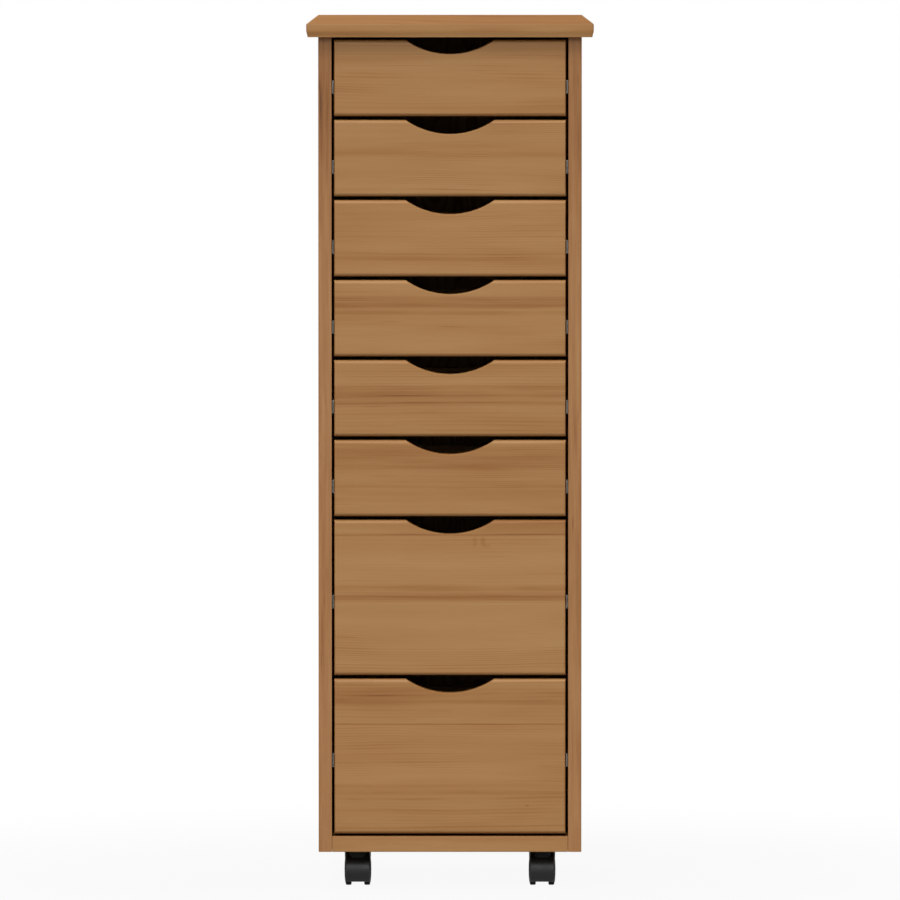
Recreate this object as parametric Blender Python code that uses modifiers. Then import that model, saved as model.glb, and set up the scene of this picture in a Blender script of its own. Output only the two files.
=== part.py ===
"""Rolling drawer cabinet in pine.

A narrow carcass on four twin-wheel casters holds six shallow and two deep drawers on steel runners.
Metres, +Z up, the floor is at Z 0, the drawer fronts face -Y, and left and right are as seen from the front.
"""

import math

import bmesh
import bpy
from mathutils import Matrix, Vector

# Clearances
FIT_GAP = 0.0003
SIDE_GAP = 0.003
TOP_GAP = 0.0032
FRONT_GAP = 0.0048
BOTTOM_GAP = 0.0032

# Carcass
BODY_WIDTH = 0.335
BODY_DEPTH = 0.365
SIDE_THICKNESS = 0.017
SIDE_ARRIS = 0.0015
BOTTOM_THICKNESS = 0.020
BOTTOM_ARRIS = 0.001
BACK_THICKNESS = 0.004
BACK_REBATE = 0.009

# Top board and its moulded edge
TOP_THICKNESS = 0.0285
TOP_OVERHANG = 0.015
TOP_CHAMFER_WIDTH = 0.014
TOP_CHAMFER_HEIGHT = 0.0117
TOP_BULGE = 0.0012
TOP_EDGE_ROUND = 0.0015

# Drawer fronts, from the top drawer down
SMALL_FRONT_HEIGHT = 0.097
LARGE_FRONT_HEIGHT = 0.19785
SMALL_DRAWERS = 6
LARGE_DRAWERS = 2
FRONT_THICKNESS = 0.017
FRONT_ROUND = 0.002
NOTCH_CHORD = 0.1127
NOTCH_DEPTH = 0.0179

# Drawer boxes
BOX_LENGTH = 0.320
BOX_SIDE = 0.014
BOX_BACK = 0.012
BOX_RAISE = 0.006
SMALL_BOX_DROP = 0.021
LARGE_BOX_DROP = 0.0315
BOX_HOUSING = 0.003
BASE_THICKNESS = 0.004
BASE_GROOVE = 0.005
BASE_RAISE = 0.008

# Steel runners: the cabinet member is a C, the drawer member is a rail with a head inside it
RUNNER_HEIGHT = 0.017
RUNNER_DEPTH = 0.0096
RUNNER_SHEET = 0.0012
RUNNER_LIP = 0.0018
RUNNER_LENGTH = 0.310
RUNNER_SETBACK = 0.002
RUNNER_TAB = 0.0015
RUNNER_GROOVE_DEPTH = 0.008
RUNNER_GROOVE_GAP = 0.0005
RAIL_HEAD = 0.0018
RAIL_STEM = 0.005
SMALL_RUNNER_RAISE = 0.037
LARGE_RUNNER_RAISE = 0.0925

# Casters
FRONT_STEM_INSET = 0.0505
REAR_STEM_INSET = 0.0445
FRONT_STEM_MARGIN = 0.0495
REAR_STEM_MARGIN = 0.0468
STEM_RADIUS = 0.005
STEM_LENGTH = 0.014
SOCKET_DEPTH = 0.008
SOCKET_WALL = 0.0015
CASTER_TRAIL = 0.0115
WHEEL_RADIUS = 0.020
WHEEL_INSIDE = 0.00815
WHEEL_TREAD = 0.0074
WHEEL_DOME = 0.0014
WHEEL_RIM = 0.0012
AXLE_RADIUS = 0.0025
AXLE_REACH = 0.0058
HOOD_WIDTH = 0.030
HOOD_WALL = 0.0018
HOOD_CLEARANCE = 0.0012
HOOD_WEB_GAP = 0.00045
HOOD_ROOM = 0.0076
HOOD_LIP_HEIGHT = 0.005
HOOD_CROWN = 0.011
HOOD_DROP = 0.0012
HOOD_ROUND = 0.0012
HOOD_BOSS = 0.006
HOOD_REAR_ANGLE = math.radians(40)

# How finely curves are faceted
NOTCH_STEPS = 18
ROUND_STEPS = 2
BULGE_STEPS = 4
HOOD_STEPS = 8
WHEEL_STEPS = 28
DOME_STEPS = 3
PIN_STEPS = 16

# Shared overrun of cutters, and the distance within which loose caps are welded
OVERRUN = 0.005
WELD = 0.00001
FLAT_ANGLE = math.radians(1)
BEVEL_ANGLE = math.radians(32)
SHARP_ANGLE = math.radians(35)

# Places that follow from the sizes
FRONT_Y = TOP_OVERHANG - (BODY_DEPTH + TOP_OVERHANG) / 2
BACK_Y = FRONT_Y + BODY_DEPTH
OPENING_WIDTH = BODY_WIDTH - 2 * SIDE_THICKNESS
FRONT_WIDTH = OPENING_WIDTH - 2 * SIDE_GAP
BOX_Y = FRONT_Y + FRONT_THICKNESS + FIT_GAP
BODY_BASE = 2 * WHEEL_RADIUS + HOOD_ROOM
NOTCH_RADIUS = (NOTCH_CHORD ** 2 / 4 + NOTCH_DEPTH ** 2) / (2 * NOTCH_DEPTH)
HOOD_RADIUS = WHEEL_RADIUS + HOOD_CLEARANCE + HOOD_WALL
HOOD_TOP = WHEEL_RADIUS + HOOD_ROOM - FIT_GAP
HOOD_DOME = HOOD_TOP - HOOD_DROP


def drawer_places():
    """(height of the front, its lower edge, height of the box, height of the runner) from the top down."""
    large = (LARGE_FRONT_HEIGHT, LARGE_BOX_DROP, LARGE_RUNNER_RAISE)
    small = (SMALL_FRONT_HEIGHT, SMALL_BOX_DROP, SMALL_RUNNER_RAISE)
    kinds = [large for _ in range(LARGE_DRAWERS)] + [small for _ in range(SMALL_DRAWERS)]
    places = []
    base = BODY_BASE + BOTTOM_THICKNESS + BOTTOM_GAP
    for height, drop, runner_raise in kinds:
        places.append((height, base, height - BOX_RAISE - drop, runner_raise))
        base += height + FRONT_GAP
    return places[::-1]


DRAWERS = drawer_places()
BODY_TOP = DRAWERS[0][1] + DRAWERS[0][0] + TOP_GAP


def clear_scene():
    for old in list(bpy.data.objects):
        bpy.data.objects.remove(old)


def new_collection(name):
    collection = bpy.data.collections.new(name)
    bpy.context.scene.collection.children.link(collection)
    return collection


def new_material(name, colour, roughness, metallic=0.0):
    material = bpy.data.materials.new(name)
    material.use_nodes = True
    shader = material.node_tree.nodes["Principled BSDF"]
    shader.inputs["Base Color"].default_value = (*colour, 1)
    shader.inputs["Roughness"].default_value = roughness
    shader.inputs["Metallic"].default_value = metallic
    material.diffuse_color = (*colour, 1)
    return material


def new_anchor(name, place, parent=None):
    """An empty that carries the pieces of one body."""
    anchor = bpy.data.objects.new(name, None)
    anchor.empty_display_size = STEM_LENGTH
    parts.objects.link(anchor)
    anchor.parent = parent
    anchor.location = place
    return anchor


def add_piece(name, mesh, material, anchor, place=(0, 0, 0), turn=0.0):
    """Puts a mesh into the cabinet as a named piece at a place measured from its anchor."""
    piece = bpy.data.objects.new(name, mesh)
    parts.objects.link(piece)
    if not mesh.materials:
        mesh.materials.append(material)
    mesh.shade_smooth()
    mesh.set_sharp_from_angle(angle=SHARP_ANGLE)
    piece.parent = anchor
    piece.location = place
    piece.rotation_euler = (0, 0, turn)
    return piece


def evaluated_mesh(helper):
    """The helper's final mesh, with coplanar triangles merged. The helper is removed."""
    bpy.context.view_layer.update()
    graph = bpy.context.evaluated_depsgraph_get()
    mesh = bpy.data.meshes.new_from_object(helper.evaluated_get(graph))
    bpy.data.objects.remove(helper)
    shape = bmesh.new()
    shape.from_mesh(mesh)
    bmesh.ops.remove_doubles(shape, verts=shape.verts, dist=WELD)
    bmesh.ops.dissolve_limit(
        shape, angle_limit=FLAT_ANGLE, verts=shape.verts, edges=shape.edges
    )
    bmesh.ops.recalc_face_normals(shape, faces=shape.faces)
    shape.to_mesh(mesh)
    shape.free()
    return mesh


def new_helper(name, data):
    helper = bpy.data.objects.new(name, data)
    cutters.objects.link(helper)
    return helper


def extruded(outline, length, axis):
    """A flat outline extruded evenly to both sides of its plane.

    axis Y takes (x, z) points, axis X takes (y, z) points and axis Z takes (x, y) points.
    """
    curve = bpy.data.curves.new("outline", "CURVE")
    curve.dimensions = "2D"
    curve.fill_mode = "BOTH"
    curve.extrude = length / 2
    spline = curve.splines.new("POLY")
    spline.points.add(len(outline) - 1)
    for point, (across, up) in zip(spline.points, outline):
        point.co = (across, up, 0, 1)
    spline.use_cyclic_u = True
    mesh = evaluated_mesh(new_helper("outline", curve))
    upright = Matrix.Rotation(math.pi / 2, 4, "X")
    if axis == "Y":
        mesh.transform(upright)
    if axis == "X":
        mesh.transform(Matrix.Rotation(math.pi / 2, 4, "Z") @ upright)
    return mesh


def block(low, high):
    """A box between two corners, from the cube primitive."""
    low = Vector(low)
    high = Vector(high)
    size = high - low
    shape = bmesh.new()
    bmesh.ops.create_cube(
        shape,
        size=1,
        matrix=Matrix.Translation((low + high) / 2) @ Matrix.Diagonal((*size, 1)),
    )
    mesh = bpy.data.meshes.new("block")
    shape.to_mesh(mesh)
    shape.free()
    return mesh


def rod(radius, start, end, axis):
    """A round bar about an axis through the origin, from start to end along it."""
    shape = bmesh.new()
    bmesh.ops.create_cone(
        shape,
        cap_ends=True,
        segments=PIN_STEPS,
        radius1=radius,
        radius2=radius,
        depth=end - start,
        matrix=Matrix.Translation((0, 0, (start + end) / 2)),
    )
    mesh = bpy.data.meshes.new("rod")
    shape.to_mesh(mesh)
    shape.free()
    if axis == "X":
        mesh.transform(Matrix.Rotation(math.pi / 2, 4, "Y"))
    return mesh


def moved(mesh, offset):
    mesh.transform(Matrix.Translation(offset))
    return mesh


def rounded(mesh, width):
    """The mesh with its sharp edges rounded."""
    helper = new_helper("rounding", mesh)
    bevel = helper.modifiers.new("edges", "BEVEL")
    bevel.width = width
    bevel.segments = ROUND_STEPS
    bevel.limit_method = "ANGLE"
    bevel.angle_limit = BEVEL_ANGLE
    return evaluated_mesh(helper)


def combined(mesh, operation, tools):
    """The mesh after a Boolean with each of the tool meshes in turn."""
    helper = new_helper("base", mesh)
    used = []
    for tool_mesh in tools:
        tool = new_helper("tool", tool_mesh)
        used.append(tool)
        step = helper.modifiers.new(operation.lower(), "BOOLEAN")
        step.operation = operation
        step.object = tool
    result = evaluated_mesh(helper)
    for tool in used:
        bpy.data.objects.remove(tool)
    return result


def mirrored(mesh):
    """A copy of the mesh for the other side of the cabinet."""
    copy = mesh.copy()
    copy.transform(Matrix.Diagonal((-1, 1, 1, 1)))
    copy.flip_normals()
    return copy


def arc(centre, radius, start, end, steps):
    """Points on an arc, both ends included."""
    points = []
    for step in range(steps + 1):
        angle = start + (end - start) * step / steps
        points.append(
            (centre[0] + radius * math.cos(angle), centre[1] + radius * math.sin(angle))
        )
    return points


# Carcass


def side_mesh(height):
    """The left side panel in plan: rounded front arrises, and a rebate for the back panel inside."""
    outer = 0
    inner = SIDE_THICKNESS
    quarter = math.pi / 2
    outline = [
        (outer, BODY_DEPTH),
        *arc((outer + SIDE_ARRIS, SIDE_ARRIS), SIDE_ARRIS, 2 * quarter, 3 * quarter, ROUND_STEPS),
        *arc((inner - SIDE_ARRIS, SIDE_ARRIS), SIDE_ARRIS, 3 * quarter, 4 * quarter, ROUND_STEPS),
        (inner, BODY_DEPTH - BACK_THICKNESS - FIT_GAP),
        (inner - BACK_REBATE, BODY_DEPTH - BACK_THICKNESS - FIT_GAP),
        (inner - BACK_REBATE, BODY_DEPTH),
    ]
    return extruded(outline, height, "Z")


def top_profile():
    """(inset, height) pairs of the moulded edge, from the underside up."""
    face_height = TOP_THICKNESS - TOP_CHAMFER_HEIGHT
    pairs = []
    for step in range(ROUND_STEPS + 1):
        angle = math.pi / 2 * step / ROUND_STEPS
        inset = TOP_BULGE + TOP_EDGE_ROUND * (1 - math.sin(angle))
        pairs.append((inset, TOP_EDGE_ROUND * (1 - math.cos(angle))))
    for step in range(1, BULGE_STEPS + 1):
        share = step / BULGE_STEPS
        height = TOP_EDGE_ROUND + (face_height - TOP_EDGE_ROUND) * share
        pairs.append((TOP_BULGE * (2 * share - 1) ** 2, height))
    pairs.append((TOP_BULGE + TOP_CHAMFER_WIDTH, TOP_THICKNESS))
    return pairs


def top_mesh():
    """A board whose section is drawn up ring by ring along the moulded edge, square at the back."""
    half_width = BODY_WIDTH / 2 + TOP_OVERHANG
    front = FRONT_Y - TOP_OVERHANG
    middle = (front + BACK_Y) / 2
    profile = top_profile()

    def set_ring(corners, inset, height):
        for corner in corners:
            corner.co.x = math.copysign(half_width - inset, corner.co.x)
            corner.co.y = front + inset if corner.co.y < middle else BACK_Y
            corner.co.z = height

    shape = bmesh.new()
    start = Matrix.Translation((0, middle, 0)) @ Matrix.Diagonal((BODY_WIDTH, BODY_DEPTH, BODY_WIDTH, 1))
    bmesh.ops.create_cube(shape, size=1, matrix=start)
    set_ring([corner for corner in shape.verts if corner.co.z < 0], *profile[0])
    shape.faces.ensure_lookup_table()
    upper = max(shape.faces, key=lambda face: face.calc_center_median().z)
    set_ring(upper.verts, *profile[1])
    for inset, height in profile[2:]:
        upper = bmesh.ops.extrude_discrete_faces(shape, faces=[upper])["faces"][0]
        set_ring(upper.verts, inset, height)
    bmesh.ops.recalc_face_normals(shape, faces=shape.faces)
    mesh = bpy.data.meshes.new("top")
    shape.to_mesh(mesh)
    shape.free()
    return mesh


def bottom_mesh():
    """The bottom panel from the side: rounded front arrises, square at the back."""
    depth = BODY_DEPTH - BACK_THICKNESS - FIT_GAP
    upper = BOTTOM_THICKNESS - BOTTOM_ARRIS
    quarter = math.pi / 2
    outline = [
        (depth, 0),
        (depth, BOTTOM_THICKNESS),
        *arc((BOTTOM_ARRIS, upper), BOTTOM_ARRIS, quarter, 2 * quarter, ROUND_STEPS),
        *arc((BOTTOM_ARRIS, BOTTOM_ARRIS), BOTTOM_ARRIS, 2 * quarter, 3 * quarter, ROUND_STEPS),
    ]
    return extruded(outline, OPENING_WIDTH - 2 * FIT_GAP, "X")


def caster_places():
    """(name, X, Y) of each stem, at its margin from the body's side and its inset from front or back."""
    front = FRONT_Y + FRONT_STEM_INSET
    rear = BACK_Y - REAR_STEM_INSET
    front_across = BODY_WIDTH / 2 - FRONT_STEM_MARGIN
    rear_across = BODY_WIDTH / 2 - REAR_STEM_MARGIN
    return (
        ("caster_front_left", -front_across, front),
        ("caster_front_right", front_across, front),
        ("caster_rear_left", -rear_across, rear),
        ("caster_rear_right", rear_across, rear),
    )


def build_carcass(cabinet):
    height = BODY_TOP - FIT_GAP - BODY_BASE
    middle = BODY_BASE + height / 2
    left = side_mesh(height)
    add_piece("side_panel_left", left, pine, cabinet, (-BODY_WIDTH / 2, FRONT_Y, middle))
    add_piece("side_panel_right", mirrored(left), pine, cabinet, (BODY_WIDTH / 2, FRONT_Y, middle))
    add_piece("top_panel", top_mesh(), pine, cabinet, (0, 0, BODY_TOP))

    bottom = add_piece("bottom_panel", bottom_mesh(), pine, cabinet, (0, FRONT_Y, BODY_BASE))
    for name, across, along in caster_places():
        bore = rod(STEM_RADIUS + FIT_GAP, -OVERRUN, STEM_LENGTH + FIT_GAP, "Z")
        cutter = new_helper(name + "_bore", bore)
        cutter.parent = cabinet
        cutter.location = (across, along, BODY_BASE)
        cutter.display_type = "WIRE"
        cutter.hide_render = True
        step = bottom.modifiers.new(cutter.name, "BOOLEAN")
        step.operation = "DIFFERENCE"
        step.object = cutter

    reach = OPENING_WIDTH / 2 + BACK_REBATE - FIT_GAP
    back = block((-reach, -BACK_THICKNESS, -height / 2), (reach, 0, height / 2))
    add_piece("back_panel", back, plywood, cabinet, (0, BACK_Y, middle))


# Runners


def runner_mesh():
    """The left cabinet member: an open C with lips, and a pressed tab that closes its front end."""
    half = RUNNER_HEIGHT / 2
    inner = half - RUNNER_SHEET
    mouth = inner - RUNNER_LIP
    lip = RUNNER_DEPTH - RUNNER_SHEET
    upper = [
        (0, half),
        (RUNNER_DEPTH, half),
        (RUNNER_DEPTH, mouth),
        (lip, mouth),
        (lip, inner),
        (RUNNER_SHEET, inner),
    ]
    lower = [(across, -up) for across, up in reversed(upper)]
    channel = extruded(upper + lower, RUNNER_LENGTH, "Y")
    front = -RUNNER_LENGTH / 2
    tab = block((RUNNER_SHEET / 2, front, -half), (SIDE_GAP - 2 * FIT_GAP, front + RUNNER_TAB, half))
    return combined(channel, "UNION", [tab])


def build_runners(cabinet):
    """A pair for each drawer, screwed to the side panels just behind the drawer fronts."""
    left = runner_mesh()
    right = mirrored(left)
    across = OPENING_WIDTH / 2 - FIT_GAP
    along = FRONT_Y + FRONT_THICKNESS + RUNNER_SETBACK + RUNNER_LENGTH / 2
    for number, (_, base, _, runner_raise) in enumerate(DRAWERS, 1):
        height = base + runner_raise
        add_piece(f"runner_left_{number}", left, zinc, cabinet, (-across, along, height))
        add_piece(f"runner_right_{number}", right, zinc, cabinet, (across, along, height))


# Drawers


def front_mesh(height):
    """A front board with its arc-shaped finger cut-out, and a groove behind for the drawer's bottom."""
    half_width = FRONT_WIDTH / 2
    sweep = math.asin(NOTCH_CHORD / 2 / NOTCH_RADIUS)
    centre = (0, height - NOTCH_DEPTH + NOTCH_RADIUS)
    down = -math.pi / 2
    outline = [
        (-half_width, 0),
        (half_width, 0),
        (half_width, height),
        *arc(centre, NOTCH_RADIUS, down + sweep, down - sweep, NOTCH_STEPS),
        (-half_width, height),
    ]
    board = rounded(extruded(outline, FRONT_THICKNESS, "Y"), FRONT_ROUND)
    low = BOX_RAISE + BASE_RAISE - FIT_GAP
    reach = half_width - BOX_SIDE + BASE_GROOVE
    groove = block(
        (-reach, FRONT_THICKNESS / 2 - BASE_GROOVE, low),
        (reach, FRONT_THICKNESS / 2 + OVERRUN, low + BASE_THICKNESS + 2 * FIT_GAP),
    )
    return moved(combined(board, "DIFFERENCE", [groove]), (0, FRONT_THICKNESS / 2, 0))


def box_side_outline(height, runner_raise):
    """The left board of a drawer box in section: outside it has the runner's groove with the steel rail
    in it, inside the groove for the bottom."""
    half_groove = RUNNER_HEIGHT / 2 + RUNNER_GROOVE_GAP
    half_head = RUNNER_HEIGHT / 2 - RUNNER_SHEET - FIT_GAP
    half_stem = RAIL_STEM / 2
    head_near = RUNNER_DEPTH - RUNNER_SHEET - SIDE_GAP
    head_far = head_near - RAIL_HEAD
    floor = RUNNER_GROOVE_DEPTH
    middle = runner_raise - BOX_RAISE
    base_low = BASE_RAISE - FIT_GAP
    base_high = BASE_RAISE + BASE_THICKNESS + FIT_GAP
    base_floor = BOX_SIDE - BASE_GROOVE
    return [
        (0, 0),
        (BOX_SIDE, 0),
        (BOX_SIDE, base_low),
        (base_floor, base_low),
        (base_floor, base_high),
        (BOX_SIDE, base_high),
        (BOX_SIDE, height),
        (0, height),
        (0, middle + half_groove),
        (floor, middle + half_groove),
        (floor, middle + half_stem),
        (head_near, middle + half_stem),
        (head_near, middle + half_head),
        (head_far, middle + half_head),
        (head_far, middle - half_head),
        (head_near, middle - half_head),
        (head_near, middle - half_stem),
        (floor, middle - half_stem),
        (floor, middle - half_groove),
        (0, middle - half_groove),
    ]


def box_mesh(height, runner_raise):
    """Two side boards joined by a back board that is housed in them and stands on the bottom."""
    outside = FRONT_WIDTH / 2
    inside = outside - BOX_SIDE
    side = extruded(box_side_outline(height, runner_raise), BOX_LENGTH, "Y")
    other = moved(mirrored(side), (outside, BOX_LENGTH / 2, 0))
    left = moved(side, (-outside, BOX_LENGTH / 2, 0))
    back_low = BASE_RAISE + BASE_THICKNESS + FIT_GAP
    back = block(
        (-inside - BOX_HOUSING, BOX_LENGTH - BOX_BACK, back_low),
        (inside + BOX_HOUSING, BOX_LENGTH, height),
    )
    return combined(left, "UNION", [back, other])


def base_mesh():
    """The thin bottom in its grooves, from the front board to the rear end of the box."""
    reach = FRONT_WIDTH / 2 - BOX_SIDE + BASE_GROOVE - FIT_GAP
    front = FRONT_THICKNESS - BASE_GROOVE + FIT_GAP
    return block(
        (-reach, front, 0),
        (reach, FRONT_THICKNESS + FIT_GAP + BOX_LENGTH, BASE_THICKNESS),
    )


def build_drawers(cabinet):
    """Each drawer hangs on an empty at the middle of its front's lower edge."""
    fronts = {}
    boxes = {}
    base_board = base_mesh()
    for number, (height, base, box_height, runner_raise) in enumerate(DRAWERS, 1):
        drawer = new_anchor(f"drawer_{number}", (0, FRONT_Y, base), cabinet)
        if height not in fronts:
            fronts[height] = front_mesh(height)
            boxes[height] = box_mesh(box_height, runner_raise)
        add_piece(f"drawer_{number}_front", fronts[height], pine_front, drawer)
        place = (0, BOX_Y - FRONT_Y, BOX_RAISE)
        add_piece(f"drawer_{number}_box", boxes[height], pine_pale, drawer, place)
        add_piece(f"drawer_{number}_base", base_board, plywood, drawer, (0, 0, BOX_RAISE + BASE_RAISE))


# Casters


def hood_outline():
    """The hood from the side, measured from the axle: a round dome that slopes down to the rear."""
    lip_drop = math.asin((WHEEL_RADIUS - HOOD_LIP_HEIGHT) / HOOD_RADIUS)
    centre = (0, 0)
    middle = HOOD_DOME - HOOD_RADIUS
    quarter = math.pi / 2
    rear = (math.cos(HOOD_REAR_ANGLE) * HOOD_RADIUS, math.sin(HOOD_REAR_ANGLE) * HOOD_RADIUS)
    return [
        *arc(centre, HOOD_RADIUS, math.pi + lip_drop, math.pi, HOOD_STEPS),
        *arc((middle, 0), HOOD_DOME, math.pi, quarter, HOOD_STEPS)[1:],
        *arc((middle, HOOD_DOME - HOOD_CROWN), HOOD_CROWN, quarter, HOOD_REAR_ANGLE, HOOD_STEPS // 2)[1:],
        rear,
        *arc(centre, HOOD_BOSS, 0, -quarter, HOOD_STEPS // 2),
    ]


def hood_mesh():
    """A moulded hood: a web between the wheels, a dome over them and a socket, with axle and stem."""
    shell = rounded(extruded(hood_outline(), HOOD_WIDTH, "X"), HOOD_ROUND)
    web = WHEEL_INSIDE - HOOD_WEB_GAP
    housing = WHEEL_RADIUS + HOOD_CLEARANCE
    outside = HOOD_WIDTH / 2 + OVERRUN
    shape = bmesh.new()
    for start in (-outside, web):
        bmesh.ops.create_cone(
            shape,
            cap_ends=True,
            segments=WHEEL_STEPS,
            radius1=housing,
            radius2=housing,
            depth=outside - web,
            matrix=Matrix.Translation((start + (outside - web) / 2, 0, 0))
            @ Matrix.Rotation(math.pi / 2, 4, "Y"),
        )
    wells = bpy.data.meshes.new("wheel_wells")
    shape.to_mesh(wells)
    shape.free()
    hollow = combined(shell, "DIFFERENCE", [wells])
    reach = WHEEL_INSIDE + AXLE_REACH
    axle = rod(AXLE_RADIUS, -reach, reach, "X")
    stem_top = HOOD_TOP + FIT_GAP + STEM_LENGTH
    ahead = (0, -CASTER_TRAIL, 0)
    stem = moved(rod(STEM_RADIUS, HOOD_TOP - SOCKET_WALL, stem_top, "Z"), ahead)
    socket = moved(rod(STEM_RADIUS + SOCKET_WALL, HOOD_TOP - SOCKET_DEPTH, HOOD_TOP, "Z"), ahead)
    return combined(hollow, "UNION", [axle, socket, stem])


def wheel_profile():
    """(radius, distance from the inner face) from the middle of the domed outer face round to the bore."""
    full = WHEEL_TREAD + WHEEL_DOME
    flat = WHEEL_RADIUS - WHEEL_RIM
    bore = AXLE_RADIUS + FIT_GAP
    points = []
    for step in range(DOME_STEPS + 1):
        share = step / DOME_STEPS
        points.append((flat * share, full - WHEEL_DOME * share ** 2))
    points += [
        (WHEEL_RADIUS, WHEEL_TREAD - WHEEL_RIM),
        (WHEEL_RADIUS, WHEEL_RIM),
        (flat, 0),
        (bore, 0),
        (bore, AXLE_REACH + FIT_GAP),
        (0, AXLE_REACH + FIT_GAP),
    ]
    return points


def wheel_mesh():
    """The right wheel of a caster, turned about its axle and measured from the axle's middle."""
    shape = bmesh.new()
    corners = [shape.verts.new((radius, 0, along)) for radius, along in wheel_profile()]
    for start, end in zip(corners, corners[1:]):
        shape.edges.new((start, end))
    profile = bpy.data.meshes.new("wheel")
    shape.to_mesh(profile)
    shape.free()
    helper = new_helper("wheel", profile)
    turned = helper.modifiers.new("turned", "SCREW")
    turned.axis = "Z"
    turned.steps = WHEEL_STEPS
    turned.render_steps = WHEEL_STEPS
    turned.use_merge_vertices = True
    turned.merge_threshold = WELD
    mesh = evaluated_mesh(helper)
    mesh.transform(
        Matrix.Translation((WHEEL_INSIDE, 0, 0)) @ Matrix.Rotation(math.pi / 2, 4, "Y")
    )
    return mesh


def build_casters(cabinet):
    """Each caster turns about its stem, and each wheel about the axle behind the stem."""
    hood = hood_mesh()
    wheel = wheel_mesh()
    for name, across, along in caster_places():
        swivel = new_anchor(name, (across, along, WHEEL_RADIUS), cabinet)
        axle = (0, CASTER_TRAIL, 0)
        add_piece(name + "_hood", hood, black_plastic, swivel, axle)
        add_piece(name + "_wheel_right", wheel, tread_plastic, swivel, axle)
        add_piece(name + "_wheel_left", wheel, tread_plastic, swivel, axle, math.pi)


clear_scene()
parts = new_collection("Rolling drawer cabinet")
cutters = new_collection("Cutters")
pine = new_material("pine", (0.34, 0.17, 0.075), 0.45)
pine_front = new_material("pine_front", (0.36, 0.18, 0.078), 0.42)
pine_pale = new_material("pine_pale", (0.55, 0.36, 0.19), 0.6)
plywood = new_material("plywood", (0.45, 0.29, 0.15), 0.65)
zinc = new_material("zinc", (0.55, 0.56, 0.57), 0.35, 1.0)
black_plastic = new_material("black_plastic", (0.03, 0.03, 0.03), 0.4)
tread_plastic = new_material("tread_plastic", (0.02, 0.02, 0.02), 0.5)

cabinet_anchor = new_anchor("cabinet", (0, 0, 0))
build_carcass(cabinet_anchor)
build_runners(cabinet_anchor)
build_drawers(cabinet_anchor)
build_casters(cabinet_anchor)
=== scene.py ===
"""Rolling drawer cabinet in oiled pine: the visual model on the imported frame."""

import math

import bmesh
import bpy
from mathutils import Matrix, Vector


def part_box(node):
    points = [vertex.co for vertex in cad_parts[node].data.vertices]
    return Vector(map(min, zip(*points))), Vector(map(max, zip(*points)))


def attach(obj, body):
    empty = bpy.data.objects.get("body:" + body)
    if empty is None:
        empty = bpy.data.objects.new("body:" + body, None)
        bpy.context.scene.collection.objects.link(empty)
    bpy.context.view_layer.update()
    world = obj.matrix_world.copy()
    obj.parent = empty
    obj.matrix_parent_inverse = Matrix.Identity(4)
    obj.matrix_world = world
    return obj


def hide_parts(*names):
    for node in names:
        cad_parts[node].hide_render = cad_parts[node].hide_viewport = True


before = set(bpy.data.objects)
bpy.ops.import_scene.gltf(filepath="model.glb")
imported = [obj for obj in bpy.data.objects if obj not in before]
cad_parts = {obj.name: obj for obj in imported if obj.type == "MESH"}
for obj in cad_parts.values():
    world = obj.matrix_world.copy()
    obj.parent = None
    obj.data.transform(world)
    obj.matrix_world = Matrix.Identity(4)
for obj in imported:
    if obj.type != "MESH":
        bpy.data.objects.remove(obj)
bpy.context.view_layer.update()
SCENE = bpy.context.scene
DRAWERS = range(1, 9)
CASTERS = ("caster_front_left", "caster_front_right", "caster_rear_left", "caster_rear_right")
CASTER_TRAIL = 0.0115
UNDER_TOP = 0.00003  # what boards stay clear of the top board's underside


# Node trees


def srgb(red, green, blue):
    """An 8-bit sRGB colour as linear values."""
    linear = []
    for level in (red, green, blue):
        share = level / 255
        linear.append(share / 12.92 if share <= 0.04045 else ((share + 0.055) / 1.055) ** 2.4)
    return (*linear, 1)


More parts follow.
